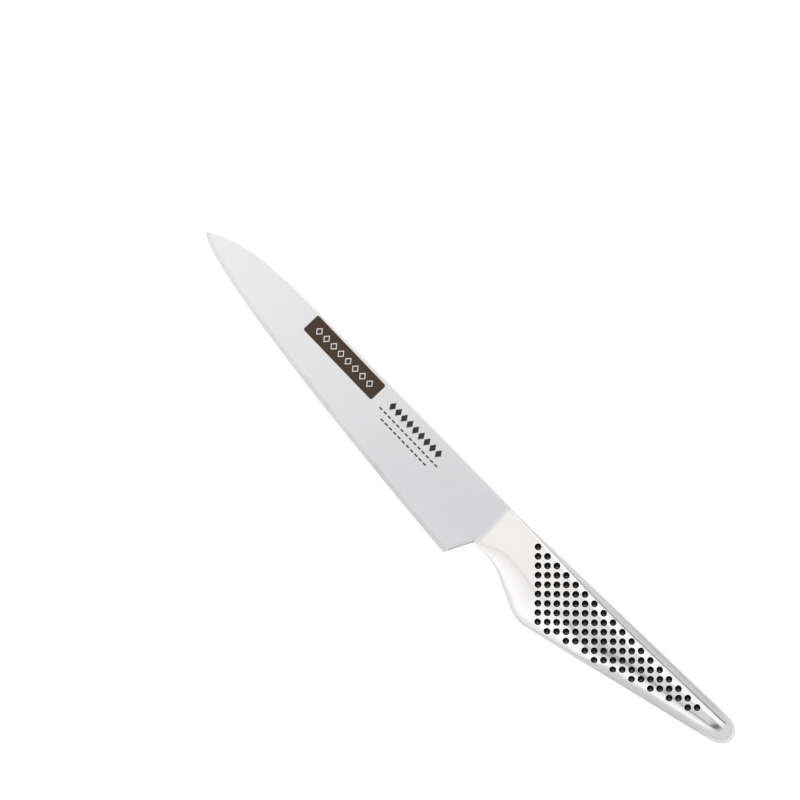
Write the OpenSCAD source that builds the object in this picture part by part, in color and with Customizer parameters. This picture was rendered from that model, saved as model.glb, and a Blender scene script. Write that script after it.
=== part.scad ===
// Flexible kitchen knife, all of stainless steel, with a hollow welded handle.
// The knife lies on its side: X runs from the tip to the butt, Y from the edge to the spine
// and Z upwards. The origin is at the middle of the knife's box, on the surface it lies on.
// The shapes are drawn from the tip, in the blade's middle plane, and then seated there.

/* [Blade outline] */
// Distance along the knife from the tip to the heel
blade_run = 148; // [110:1:190]
// How far the edge lies below the tip at the heel
heel_drop = 25.5; // [22:0.5:32]
// Rise of the spine's crown above the tip
crown_rise = 7.5; // [5.5:0.5:10]
// Distance along the knife from the tip to the crown
crown_run = 42; // [30:1:60]
// Rise of the spine above the tip where the blade ends
spine_end_rise = 4.2; // [4:0.1:5]
// Distance along the knife from the heel to the blade's rear end
choil_run = 5.6; // [3:0.1:9]
// Blunt height of the tip
tip_rise = 0.3; // [0.1:0.1:0.8]

/* [Blade section] */
// Thickness of the spine at the neck
spine_t = 1.6; // [1.4:0.1:2.4]
// Thickness at the tip
tip_t = 0.8; // [0.6:0.1:1.2]
// Thickness where the bevel starts at the heel
shoulder_t = 0.7; // [0.5:0.1:1.2]
// Width of the ground bevel along the edge
bevel_w = 1.7; // [1:0.1:3]
// Thickness left at the sharp edge
edge_t = 0.08; // [0.04:0.02:0.2]

/* [Tang] */
// Length of the tang inside the handle
tang_length = 12; // [6:1:30]
// Height of the tang
tang_height = 10; // [6:0.5:12]
// Thickness of the tang
tang_t = 1; // [0.8:0.05:1.05]

/* [Handle outline] */
// Length of the handle shells
handle_run = 120; // [100:1:140]
// Rise of the handle's straight back above the tip
back_rise = 3.9; // [3.6:0.1:4.2]
// Height of the neck where it meets the blade
neck_height = 18.7; // [16:0.1:21]
// Distance from the neck's front to the throat, where the belly turns down
throat_run = 8.6; // [7:0.1:12]
// Radius of the throat
throat_round = 25; // [15:1:30]
// Distance from the neck's front to the belly's corner
belly_run = 29.6; // [27:0.1:34]
// Height of the handle at the belly's corner
belly_height = 29.3; // [26:0.1:31]
// Radius of the belly
belly_round = 13; // [8:1:16]
// Height of the handle at the butt
butt_height = 9.8; // [8:0.1:13]
// Length of the rounded butt
butt_round = 6; // [4:0.1:8]

/* [Handle section] */
// Greatest thickness of the handle
handle_t = 13; // [11:0.5:16]
// Thickness of the handle at the neck's front
neck_t = 3.6; // [3.4:0.1:4.5]
// Thickness of the handle before the rounded butt
butt_t = 10.5; // [9:0.5:13]
// Distance from the neck's front to the greatest thickness
bulge_run = 45; // [40:1:60]
// Depth below the back of the line along which the handle's front is thickest
crest_drop = 8.8; // [7.5:0.1:10]
// Distance from the neck's front over which the section is square and thins to the belly
front_run = 32; // [24:1:40]
// Distance over which it then turns to an even oval
fade_run = 40; // [30:1:60]
// Distance from the neck's front over which the belly side thins
thin_run = 20; // [10:1:30]
// How much thinner the handle gets on its last stretch before the butt
butt_ease = 0.66; // [0.2:0.02:1]
// Length of that last stretch
butt_ease_run = 7.5; // [5:0.5:12]
// Wall of the stamped shells
wall = 1.1; // [0.9:0.05:1.15]

/* [Welds and filling] */
// Width of the weld along the handle's seam
seam_w = 0.5; // [0.3:0.1:0.8]
// Width of the weld round the neck
weld_run = 1.9; // [1:0.1:3]
// Depth of the filling's level below the handle's middle plane
sand_level = 0.8; // [0.7:0.1:2.5]
// Gap between the filling and the shells
sand_gap = 0.1; // [0.05:0.05:0.3]
// Gap round the tang in the neck's weld
tang_gap = 0.02; // [0.01:0.01:0.05]

/* [Dimples] */
// Distance between the dimples of one row
dimple_pitch = 4.98; // [4.5:0.01:6]
// Distance from the neck's front to the first dimple
dimple_start = 16.6; // [15:0.1:22]
// Depth of the first dimple below the handle's back
dimple_drop = 3.2; // [3:0.1:4]
// Radius of the balls that press the dimples
dimple_ball_r = 1.9; // [1.6:0.05:2.2]
// Depth of a dimple
dimple_depth = 0.55; // [0.4:0.05:0.6]
// Least height of skin between a dimple's middle and the belly
dimple_margin = 2.6; // [2:0.1:4]
// Thickness of the enamel at the bottom of a dimple
enamel_t = 0.12; // [0.08:0.02:0.2]
// Gap between the enamel and the steel
enamel_gap = 0.02; // [0.01:0.01:0.04]
// Depth of the enamel's rim below the skin
enamel_sink = 0.05; // [0.04:0.01:0.08]

/* [Label] */
// Length of the label
label_length = 37; // [20:1:45]
// Height of the label
label_height = 7.8; // [5:0.1:9]
// Thickness of the label's film
label_t = 0.08; // [0.04:0.02:0.2]
// Radius of the label's corners
label_round = 0.8; // [0.4:0.1:2]
// Distance along the knife from the tip to the label's middle
label_run = 70.3; // [50:0.1:80]
// Depth of the label's middle below the spine
label_drop = 4.9; // [4.5:0.1:6]
// Turn of the label in degrees
label_turn = -2.5; // [-4:0.5:1]

/* [Hidden] */

// Exponents of the outline's and the section's curves
edge_bend_share = 0.64;
tip_bend_share = 3.4;
spine_bend_share = 1.12;
ramp_bend_share = 1.7;
neck_fullness_share = 13.8;
belly_fullness_share = 12;
body_fullness_share = 2.3;
fullness_bend_share = 5.5;
// How far the thickest line leaves the middle, how much the section thins to the belly, and
// the share of that at the neck
crest_pull_share = 0.85;
belly_thin_share = 0.65;
neck_thin_share = 0.55;
// The shells' wall takes at most this share of the height over the seam
wall_share = 0.7;
// How much of the neck weld's rise is eased at its ends
bead_ease_share = 0.3;
// The bevel reaches the spine this far from the tip, in bevel widths
tip_facet_share = 0.7;
// Turn of the dimple rows in degrees, and how many dimples each row has
dimple_turn = -1.6;
dimple_counts = [18, 17, 15, 13, 11, 9, 7, 4, 2];
// Steps along the blade, along the handle's front and rear and round its butt and section
blade_steps = 44;
blade_step_share = 1.4;
front_steps = 21;
rear_steps = 13;
butt_steps = 7;
section_steps = 28;
weld_steps = 6;
round_fn = 32;

blade_end = blade_run + choil_run;
neck_x = blade_end + weld_run;
butt_x = neck_x + handle_run;
cap_x = butt_x - butt_round;
bulge_x = neck_x + bulge_run;
neck_low = back_rise - neck_height;
tip_facet = bevel_w * tip_facet_share;

// Slopes of the straight stretches of the belly
throat_slope = (neck_height - belly_height) / (belly_run - throat_run);
tail_slope = (belly_height - butt_height) / (handle_run - belly_run);

// The blade's flat sides are planes through its thickness at the tip, at the rear end of
// the spine and where the bevel starts at the heel
spine_gain = (spine_t - tip_t) / 2;
shoulder_gain = (shoulder_t - tip_t) / 2;
shoulder_y = bevel_w - heel_drop;
side_area = blade_end * shoulder_y - blade_run * spine_end_rise;
side_slope_x = (spine_gain * shoulder_y - shoulder_gain * spine_end_rise) / side_area;
side_slope_y = (blade_end * shoulder_gain - blade_run * spine_gain) / side_area;

function mix(a, b, s) = a + (b - a) * s;
function clamped(s) = max(min(s, 1), 0);
function smooth(s) = pow(clamped(s), 2) * (3 - 2 * clamped(s));
function side_z(x, y) = tip_t / 2 + side_slope_x * x + side_slope_y * y;

// Height of the edge, of the spine and of the bevel's upper line over the tip
function edge_y(x) = -heel_drop * pow(x / blade_run, edge_bend_share);
function edge_slope(x) = edge_bend_share * edge_y(x) / x;
function bevel_y(x) = edge_y(x) + bevel_w * sqrt(1 + pow(edge_slope(x), 2));
function tip_spine_y(x) = mix(crown_rise, tip_rise, pow(1 - x / crown_run, tip_bend_share));
function rear_spine_y(x) =
    mix(crown_rise, spine_end_rise, pow((x - crown_run) / (blade_end - crown_run), spine_bend_share));
function spine_y(x) = x < crown_run ? tip_spine_y(x) : rear_spine_y(x);

// Height of a line that turns from one slope to another at a rounded corner
function rounded_y(x, corner, slope_a, slope_b, radius) =
    let (
        angle_a = atan(slope_a),
        angle_b = atan(slope_b),
        side = sign(slope_b - slope_a),
        reach = radius * tan(abs(angle_b - angle_a) / 2),
        start = corner - reach * [cos(angle_a), sin(angle_a)],
        finish = corner + reach * [cos(angle_b), sin(angle_b)],
        middle = start + side * radius * [-sin(angle_a), cos(angle_a)]
    )
    x < start.x ? corner.y + slope_a * (x - corner.x)
    : x > finish.x ? corner.y + slope_b * (x - corner.x)
    : middle.y - side * sqrt(pow(radius, 2) - pow(x - middle.x, 2));

throat_corner = [neck_x + throat_run, neck_low];
belly_corner = [neck_x + belly_run, back_rise - belly_height];
function belly_y(x) = x < mix(throat_corner.x, belly_corner.x, 0.5)
    ? rounded_y(x, throat_corner, 0, throat_slope, throat_round)
    : rounded_y(x, belly_corner, throat_slope, tail_slope, belly_round);

// Half thickness of the handle, and the line along which its section is thickest
function middle_y(x) = (back_rise + belly_y(x)) / 2;
function ramp(x) = pow(max(1 - (x - neck_x) / bulge_run, 0), ramp_bend_share);
function taper(x) = pow((x - bulge_x) / (cap_x - bulge_x), 2);
function ease(x) = pow(max(x - cap_x + butt_ease_run, 0) / butt_ease_run, 2);
function half_z(x) = x < bulge_x
    ? mix(handle_t, neck_t, ramp(x)) / 2
    : (mix(handle_t, butt_t, taper(x)) - butt_ease * ease(x)) / 2;
function front_share(x) = 1 - smooth((x - neck_x - front_run) / fade_run);
function crest_y(x) = mix(middle_y(x), back_rise - crest_drop, crest_pull_share * front_share(x));

// How square the section is above and below that line, and how much it thins to the belly
function back_fullness(x) =
    let (s = clamped((cap_x - x) / (cap_x - neck_x)))
    mix(body_fullness_share, neck_fullness_share, pow(s, fullness_bend_share));
function belly_fullness(x) = mix(body_fullness_share, belly_fullness_share, front_share(x));
function fullness(x, above) = above ? back_fullness(x) : belly_fullness(x);
function belly_thin(x) =
    let (gain = mix(neck_thin_share, 1, clamped((x - neck_x) / thin_run)))
    belly_thin_share * gain * front_share(x);
function thinned(x, off) = off < 0 ? 1 - belly_thin(x) * pow(off, 2) : 1;

// A point of the section at an angle from the back: its shares of the reach to the outline
// and of the height over the seam
function section_at(x, a) =
    let (n = fullness(x, cos(a) > 0), reach = pow(pow(abs(cos(a)), n) + pow(sin(a), n), -1 / n))
    reach * [cos(a), sin(a)];

// Height of the handle's outer skin over its middle plane, and the skin's normal
function skin_z(x, y) =
    let (
        rise = y - crest_y(x),
        reach = rise > 0 ? back_rise - crest_y(x) : crest_y(x) - belly_y(x),
        off = max(min(rise / reach, 1), -1),
        n = fullness(x, rise > 0)
    )
    mix(seam_w / 2, half_z(x), thinned(x, off) * pow(1 - pow(abs(off), n), 1 / n));
function skin_normal(x, y, reach) =
    let (
        rise_x = skin_z(x + reach, y) - skin_z(x - reach, y),
        rise_y = skin_z(x, y + reach) - skin_z(x, y - reach),
        n = [-rise_x, -rise_y, 2 * reach]
    )
    n / norm(n);

// One ring of a half section. The butt is rounded: its rings draw in and lean with the handle
function body_x(i) = i < front_steps
    ? mix(neck_x, bulge_x, i / front_steps)
    : mix(bulge_x, cap_x, (i - front_steps) / rear_steps);
body_steps = front_steps + rear_steps;
ring_count = body_steps + butt_steps;
function butt_angle(i) = 90 * max(i - body_steps, 0) / butt_steps;
function half_ring(i, inset) =
    let (
        turn = butt_angle(i),
        x = i < body_steps ? body_x(i) : cap_x + (butt_round - inset) * sin(turn),
        crest = crest_y(x),
        back_reach = (back_rise - crest - inset) * cos(turn),
        belly_reach = (crest - belly_y(x) - inset) * cos(turn)
    )
    [for (j = [0 : section_steps])
        let (
            p = section_at(x, 180 * j / section_steps),
            off = p.x * (p.x > 0 ? back_reach : belly_reach),
            full = (half_z(x) - seam_w / 2) * thinned(x, p.x),
            rise = max(full - inset, full * (1 - wall_share * inset / wall))
        )
        [x - tail_slope / 2 * sin(turn) * off, crest + off, seam_w / 2 + rise * cos(turn) * p.y]];
function half_skin(inset) = [for (i = [0 : ring_count - 1]) each half_ring(i, inset)];
function butt_tip(inset) =
    let (x = butt_x - inset)
    [x, middle_y(x), seam_w / 2];

// Triangles over a grid of points, over the fan that closes it and along a strip of two rows
ring_points = section_steps + 1;
skin_points = ring_count * ring_points + 1;
function turned(face, back) = back ? [face[0], face[2], face[1]] : face;
function grid_faces(first, rows, columns, back) = [
    for (i = [0 : rows - 2], j = [0 : columns - 2])
        let (a = first + i * columns + j, b = a + columns)
        each [turned([a, b, a + 1], back), turned([b, b + 1, a + 1], back)]];
function fan_faces(first, columns, tip, back) =
    [for (j = [0 : columns - 2]) turned([first + j, tip, first + j + 1], back)];
function strip_faces(row_a, row_b) = [
    for (i = [0 : len(row_a) - 2])
        each [[row_a[i], row_b[i], row_b[i + 1]], [row_a[i], row_b[i + 1], row_a[i + 1]]]];
function tip_at(first) = first + skin_points - 1;
function back_row(first) = [for (i = [0 : ring_count - 1]) first + i * ring_points];
function belly_row(first) = [for (i = [0 : ring_count - 1]) first + (i + 1) * ring_points - 1];
function front_row(first) = [for (j = [0 : section_steps]) first + j];
function skin_faces(first, back) = concat(
    grid_faces(first, ring_count, ring_points, back),
    fan_faces(first + (ring_count - 1) * ring_points, ring_points, tip_at(first), back));

// Outline of the handle in its middle plane, from the front of the back to that of the belly
function handle_outline(inset) =
    let (rings = [for (i = [0 : ring_count - 1]) half_ring(i, inset)], tip = butt_tip(inset))
    concat(
        [for (ring = rings) [ring[0].x, ring[0].y]],
        [[tip.x, tip.y]],
        [for (i = [ring_count - 1 : -1 : 0]) [rings[i][section_steps].x, rings[i][section_steps].y]]);

// Middle of the knife's box
belly_low = min([for (i = [0 : body_steps]) belly_y(body_x(i))]);
box_middle_y = (max(crown_rise, back_rise) + min(-heel_drop, belly_low)) / 2;

module seated() {
    translate([-butt_x / 2, -box_middle_y, handle_t / 2])
        children();
}

// The blade: two flat tapering sides, a bevel to the edge, and a short tang in the handle
function blade_x(i) = mix(tip_facet, blade_run, pow(i / blade_steps, blade_step_share));
choil_height = neck_low + heel_drop;
choil_bevel = bevel_y(blade_run) + heel_drop;
blade_side_count = 3 * blade_steps + 5;
function edge_at(i, side) = side * blade_side_count + (i == 0 ? 1 : 3 * i);
function bevel_at(i, side) = side * blade_side_count + (i == 0 ? 2 : 3 * i + 1);
function spine_at(i, side) = side * blade_side_count + (i == 0 ? 2 : 3 * i + 2);
function blade_side(s) = concat(
    [[0, 0, s * edge_t / 2]],
    [[tip_facet, edge_y(tip_facet), s * edge_t / 2]],
    [[tip_facet, spine_y(tip_facet), s * side_z(tip_facet, spine_y(tip_facet))]],
    [for (i = [1 : blade_steps])
        let (
            x = blade_x(i),
            bevel_x = x + (i < blade_steps ? 0 : choil_run * choil_bevel / choil_height)
        )
        each [
            [x, edge_y(x), s * edge_t / 2],
            [bevel_x, bevel_y(x), s * side_z(bevel_x, bevel_y(x))],
            [x, spine_y(x), s * side_z(x, spine_y(x))]]],
    [[blade_end, neck_low, s * side_z(blade_end, neck_low)]],
    [[blade_end, spine_end_rise, s * side_z(blade_end, spine_end_rise)]]);
function blade_row(side) = side * blade_side_count;
function choil_at(side) = (side + 1) * blade_side_count - 2;
function rear_at(side) = (side + 1) * blade_side_count - 1;
function blade_side_faces(side) = [
    for (i = [0 : blade_steps - 1])
        each [
            turned([spine_at(i + 1, side), bevel_at(i + 1, side), bevel_at(i, side)], side == 1),
            turned([bevel_at(i, side), bevel_at(i + 1, side), edge_at(i, side)], side == 1),
            turned([bevel_at(i + 1, side), edge_at(i + 1, side), edge_at(i, side)], side == 1)],
    for (i = [1 : blade_steps - 1])
        turned([bevel_at(i, side), spine_at(i, side), spine_at(i + 1, side)], side == 1),
    turned([blade_row(side), bevel_at(0, side), edge_at(0, side)], side == 1),
    turned([bevel_at(blade_steps, side), spine_at(blade_steps, side), rear_at(side)], side == 1),
    turned([bevel_at(blade_steps, side), rear_at(side), choil_at(side)], side == 1)];
function spine_row(side) =
    concat([blade_row(side)], [for (i = [0 : blade_steps]) spine_at(i, side)], [rear_at(side)]);
function edge_row(side) = concat(
    [blade_row(side)],
    [for (i = [0 : blade_steps]) edge_at(i, side)],
    [bevel_at(blade_steps, side), choil_at(side), rear_at(side)]);

module tang() {
    tang_x = blade_end - weld_run;
    translate([tang_x, middle_y(neck_x) - tang_height / 2, -tang_t / 2])
        cube([2 * weld_run + tang_length, tang_height, tang_t]);
}

module blade() {
    color("lightgray")
        seated() {
            polyhedron(
                points = concat(blade_side(1), blade_side(-1)),
                faces = concat(
                    blade_side_faces(0),
                    blade_side_faces(1),
                    strip_faces(spine_row(0), spine_row(1)),
                    strip_faces(edge_row(1), edge_row(0))),
                convexity = 4);
            tang();
        }
}

// Places of the dimples, seen from the side, row by row from the back down
function dimple_at(row, i) =
    let (along = (row / 2 + i) * dimple_pitch, down = -row * dimple_pitch / 2)
    [
        neck_x + dimple_start + along * cos(dimple_turn) - down * sin(dimple_turn),
        back_rise - dimple_drop + along * sin(dimple_turn) + down * cos(dimple_turn)
    ];
function dimple_fits(p) =
    p.x < cap_x - dimple_margin && p.y - belly_y(p.x) > dimple_margin && back_rise - p.y > dimple_margin;
dimples = [
    for (row = [0 : len(dimple_counts) - 1], i = [0 : dimple_counts[row] - 1])
        let (p = dimple_at(row, i))
        if (dimple_fits(p)) p];

// A ball over each dimple, its middle out from the skin along the normal
module balls(radius, height) {
    for (p = dimples) {
        normal = skin_normal(p.x, p.y, dimple_ball_r);
        middle = [p.x, p.y, skin_z(p.x, p.y)] + height * normal;
        translate(middle)
            sphere(r = radius, $fn = round_fn);
    }
}

// One half of the handle's hollow shell, with its dimples pressed in
module handle_shell() {
    difference() {
        polyhedron(
            points = concat(half_skin(0), [butt_tip(0)], half_skin(wall), [butt_tip(wall)]),
            faces = concat(
                skin_faces(0, false),
                skin_faces(skin_points, true),
                strip_faces(
                    concat(back_row(0), [tip_at(0)]),
                    concat(back_row(skin_points), [tip_at(skin_points)])),
                strip_faces(
                    concat(belly_row(skin_points), [tip_at(skin_points)]),
                    concat(belly_row(0), [tip_at(0)])),
                strip_faces(front_row(skin_points), front_row(0))),
            convexity = 6);
        balls(dimple_ball_r, dimple_ball_r - dimple_depth);
    }
}

module handle_shell_left() {
    color("silver")
        seated()
            handle_shell();
}

module handle_shell_right() {
    color("silver")
        seated()
            mirror([0, 0, 1])
                handle_shell();
}

// Weld between the two shells, ground flush, along the back, round the butt and along the belly
module seam_weld() {
    outer = handle_outline(0);
    inner = handle_outline(wall);
    count = len(inner);
    color("darkgray")
        seated()
            translate([0, 0, -seam_w / 2])
                linear_extrude(seam_w)
                    polygon(concat(outer, [for (i = [count - 1 : -1 : 0]) inner[i]]));
}

// Weld round the neck: a hollow bead that rises from the blade's sides to the shells
function weld_ring(i) =
    let (
        s = i / weld_steps,
        x = mix(blade_end, neck_x, s),
        top = mix(spine_end_rise, back_rise, s),
        crest = crest_y(neck_x),
        blend = mix(s, smooth(s), bead_ease_share),
        half = [for (j = [0 : section_steps])
            let (
                p = section_at(neck_x, 180 * j / section_steps),
                y = crest + p.x * (p.x > 0 ? top - crest : crest - neck_low),
                plate_z = mix(seam_w / 2, side_z(blade_end, y), p.y),
                shell_z = mix(seam_w / 2, neck_t / 2, thinned(neck_x, p.x) * p.y)
            )
            [x, y, mix(plate_z, shell_z, blend)]]
    )
    concat(half, [for (j = [section_steps : -1 : 0]) [half[j].x, half[j].y, -half[j].z]]);

module neck_weld() {
    ring = 2 * (section_steps + 1);
    hole = [2 * weld_run, tang_height + 2 * tang_gap, tang_t + 2 * tang_gap];
    color("gray")
        seated()
            difference() {
                polyhedron(
                    points = [for (i = [0 : weld_steps]) each weld_ring(i)],
                    faces = concat(
                        grid_faces(0, weld_steps + 1, ring, false),
                        [for (i = [0 : weld_steps - 1])
                            let (a = (i + 1) * ring - 1, b = i * ring)
                            each [[a, a + ring, b], [a + ring, b + ring, b]]],
                        [[for (j = [0 : ring - 1]) j]],
                        [[for (j = [ring - 1 : -1 : 0]) weld_steps * ring + j]]),
                    convexity = 4);
                translate([blade_end - hole.x / 4, middle_y(neck_x) - hole.y / 2, -hole.z / 2])
                    cube(hole);
            }
}

// Loose filling that balances the knife, lying level in the sealed lower shell
module balance_sand() {
    inset = wall + sand_gap;
    level = [handle_run + butt_x, belly_height * 2, handle_t];
    color("tan")
        seated()
            intersection() {
                mirror([0, 0, 1])
                    polyhedron(
                        points = concat(half_skin(inset), [butt_tip(inset)]),
                        faces = concat(
                            skin_faces(0, false),
                            strip_faces(back_row(0), belly_row(0)),
                            [[back_row(0)[ring_count - 1], belly_row(0)[ring_count - 1], tip_at(0)]],
                            [front_row(0)]),
                        convexity = 2);
                translate([0, -level.y / 2, -level.z - sand_level])
                    cube(level);
            }
}

// Black enamel at the bottom of each dimple: what is left of one ball outside a flatter one
module enamel() {
    ball_r = dimple_ball_r - enamel_gap;
    ball_height = dimple_ball_r - dimple_depth;
    rim_r = sqrt(pow(ball_r, 2) - pow(ball_height + enamel_sink, 2));
    hollow = dimple_depth - enamel_gap - enamel_t - enamel_sink;
    hollow_r = (pow(rim_r, 2) + pow(hollow, 2)) / (2 * hollow);
    difference() {
        balls(ball_r, ball_height);
        balls(hollow_r, hollow_r - hollow - enamel_sink);
    }
}

module dimple_enamel_left() {
    color("black")
        seated()
            enamel();
}

module dimple_enamel_right() {
    color("black")
        seated()
            mirror([0, 0, 1])
                enamel();
}

// Film label on the left side of the blade, turned with the spine
module blade_label() {
    tilt_y = -atan(side_slope_x);
    tilt_x = atan(side_slope_y * cos(tilt_y));
    place = [label_run, spine_y(label_run) - label_drop];
    size = [label_length, label_height] - 2 * label_round * [1, 1];
    color("sienna")
        seated()
            translate([place.x, place.y, side_z(place.x, place.y)])
                rotate([tilt_x, tilt_y, 0])
                    rotate([0, 0, label_turn])
                        linear_extrude(label_t)
                            rounded_plate(size, label_round);
}

// A rectangle with round corners, in two crossed plates and four discs
module rounded_plate(size, radius) {
    square([size.x + 2 * radius, size.y], center = true);
    square([size.x, size.y + 2 * radius], center = true);
    for (sx = [-1, 1], sy = [-1, 1])
        translate([sx * size.x / 2, sy * size.y / 2])
            circle(r = radius, $fn = round_fn);
}

blade();
handle_shell_left();
handle_shell_right();
seam_weld();
neck_weld();
balance_sand();
dimple_enamel_left();
dimple_enamel_right();
blade_label();
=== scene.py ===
"""Flexible kitchen knife, all of stainless steel, with a hollow welded handle and black dimples.

Shapes are drawn in millimetres in the knife's own sheet: X from the tip to the butt, Y from the
edge up to the spine, and Z out of the left side, from the blade's middle plane. They are then
seated in the part's frame, in metres.
"""

import math

import bmesh
import bpy
import numpy as np
from mathutils import Matrix, Vector


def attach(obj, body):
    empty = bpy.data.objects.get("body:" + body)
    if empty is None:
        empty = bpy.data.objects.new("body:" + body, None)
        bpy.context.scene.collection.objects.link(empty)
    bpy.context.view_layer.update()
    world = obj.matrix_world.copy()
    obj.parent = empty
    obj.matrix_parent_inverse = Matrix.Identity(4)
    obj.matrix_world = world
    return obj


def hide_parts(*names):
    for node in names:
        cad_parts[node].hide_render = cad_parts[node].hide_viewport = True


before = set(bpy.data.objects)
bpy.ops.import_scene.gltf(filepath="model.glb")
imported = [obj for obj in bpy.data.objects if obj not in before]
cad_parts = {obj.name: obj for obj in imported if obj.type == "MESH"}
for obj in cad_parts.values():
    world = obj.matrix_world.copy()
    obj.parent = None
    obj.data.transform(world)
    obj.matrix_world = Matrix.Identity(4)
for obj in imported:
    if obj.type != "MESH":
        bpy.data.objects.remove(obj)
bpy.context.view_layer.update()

# Blade outline, in millimetres
BLADE_RUN = 148
HEEL_DROP = 25.5
CROWN_RISE = 7.5
CROWN_RUN = 42
SPINE_END_RISE = 4.2
CHOIL_RUN = 5.6
TIP_RISE = 0.3
EDGE_BEND = 0.64
TIP_BEND = 3.4
SPINE_BEND = 1.12
CHOIL_FILLET = 1.0

# Blade section
SPINE_T = 1.6
TIP_T = 0.8
SHOULDER_T = 0.7
BEVEL_W = 1.7
EDGE_T = 0.08
TANG_LENGTH = 12
TANG_HEIGHT = 10
TANG_T = 1.0
TANG_SOFT = 0.1

# The hand-ground bevel: where it starts, and the height, run and start of its uneven waves
BEVEL_START = 0.05
GRIND_WAVES = ((0.13, 5.3, 0), (0.08, 2.1, 1), (0.10, 11, 2))

# Handle outline
HANDLE_RUN = 120
BACK_RISE = 3.9
NECK_HEIGHT = 18.7
THROAT_RUN = 8.6
THROAT_ROUND = 25
BELLY_RUN = 29.6
BELLY_HEIGHT = 29.3
BELLY_ROUND = 13
BUTT_HEIGHT = 9.8
BUTT_ROUND = 6

# Handle section
HANDLE_T = 13
NECK_T = 3.6
BUTT_T = 10.5
BULGE_RUN = 45
CREST_DROP = 8.8
FRONT_RUN = 32
FADE_RUN = 40
THIN_RUN = 20
BUTT_EASE = 0.66
BUTT_EASE_RUN = 7.5
WALL = 1.1
WALL_SHARE = 0.7
SEAM_W = 0.5
WELD_RUN = 1.9
TANG_GAP = 0.02
RAMP_BEND = 1.7
BEAD_EASE = 0.3
NECK_FULLNESS = 13.8
BELLY_FULLNESS = 12
BODY_FULLNESS = 2.3
FULLNESS_BEND = 5.5
CREST_PULL = 0.85
BELLY_THIN = 0.65
NECK_THIN = 0.55
SECTION_POINTS = 601

# Dimples
DIMPLE_PITCH = 4.98
DIMPLE_START = 16.6
DIMPLE_DROP = 3.2
DIMPLE_BALL_R = 1.9
DIMPLE_DEPTH = 0.55
DIMPLE_MARGIN = 2.6
DIMPLE_TURN = math.radians(-1.6)
DIMPLE_COUNTS = (18, 17, 15, 13, 11, 9, 7, 4, 2)

# Label
LABEL_SIZE = (37, 7.8)
LABEL_T = 0.08
LABEL_ROUND = 0.8
LABEL_RUN = 70.3
LABEL_DROP = 4.9
LABEL_TURN = math.radians(-2.5)
LABEL_MARKS = 8
MARK_PITCH = 3.9
MARK_SIZE = (3.0, 3.4)
MARK_LINE = 0.32
INK_T = 0.012
INK_LIFT = 0.002

# Print beside the label
PRINT_PLACE = (108.5, -2.0)
PRINT_MARKS = 9
PRINT_MARK_PITCH = 3.1
PRINT_MARK_SIZE = (2.7, 3.8)
PRINT_MARK_RISE = 2.6
DASH_COUNTS = (14, 11)
DASH_PITCH = 2.3
DASH_SIZE = (1.5, 0.6)
DASH_DROP = 1.2
DASH_ROW_DROP = 2.7

BLADE_END = BLADE_RUN + CHOIL_RUN
NECK_X = BLADE_END + WELD_RUN
BUTT_X = NECK_X + HANDLE_RUN
CAP_X = BUTT_X - BUTT_ROUND
BULGE_X = NECK_X + BULGE_RUN
NECK_LOW = BACK_RISE - NECK_HEIGHT
BALL_LIFT = DIMPLE_BALL_R - DIMPLE_DEPTH
RIM_R = math.sqrt(DIMPLE_BALL_R**2 - BALL_LIFT**2)
MERGE_REACH = 0.001

# From the knife's sheet to the part's frame, whose origin is under the middle of its box
MM = 0.001
ORIGIN = (BUTT_X / 2, (CROWN_RISE - HEEL_DROP) / 2, -HANDLE_T / 2)
SEAT = Matrix.Scale(MM, 4) @ Matrix.Translation([-value for value in ORIGIN])


def mix(a, b, share):
    return a + (b - a) * share


def clamp(value, low=0.0, high=1.0):
    return min(max(value, low), high)


def smooth_step(share):
    s = clamp(share)
    return s * s * (3 - 2 * s)


def plane_through(a, b, c):
    """Slopes along X and Y, and the height at the origin, of the plane through three points."""
    rows = np.array([(a[0], a[1], 1), (b[0], b[1], 1), (c[0], c[1], 1)], float)
    return np.linalg.solve(rows, (a[2], b[2], c[2]))


def side_slopes():
    """The blade's flat side runs through the tip, the rear of the spine and the heel's shoulder."""
    tip = (0, 0, TIP_T / 2)
    rear = (BLADE_END, SPINE_END_RISE, SPINE_T / 2)
    shoulder = (BLADE_RUN, BEVEL_W - HEEL_DROP, SHOULDER_T / 2)
    return plane_through(tip, rear, shoulder)


SIDE_PLANE = side_slopes()


def side_z(x, y):
    return SIDE_PLANE[0] * x + SIDE_PLANE[1] * y + SIDE_PLANE[2]


def edge_y(x):
    return -HEEL_DROP * (max(x, 0) / BLADE_RUN) ** EDGE_BEND


def grind_w(x):
    """Width of the ground bevel, a little uneven, as a hand leaves it."""
    waves = (height * math.sin(x / run + start) for height, run, start in GRIND_WAVES)
    return sum(waves, BEVEL_W)


def bevel_y(x):
    x = clamp(x, BEVEL_START, BLADE_RUN)
    slope = EDGE_BEND * edge_y(x) / x
    return edge_y(x) + grind_w(x) * math.sqrt(1 + slope * slope)


def spine_y(x):
    if x < CROWN_RUN:
        return mix(CROWN_RISE, TIP_RISE, (1 - x / CROWN_RUN) ** TIP_BEND)
    share = (x - CROWN_RUN) / (BLADE_END - CROWN_RUN)
    return mix(CROWN_RISE, SPINE_END_RISE, share**SPINE_BEND)


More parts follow.
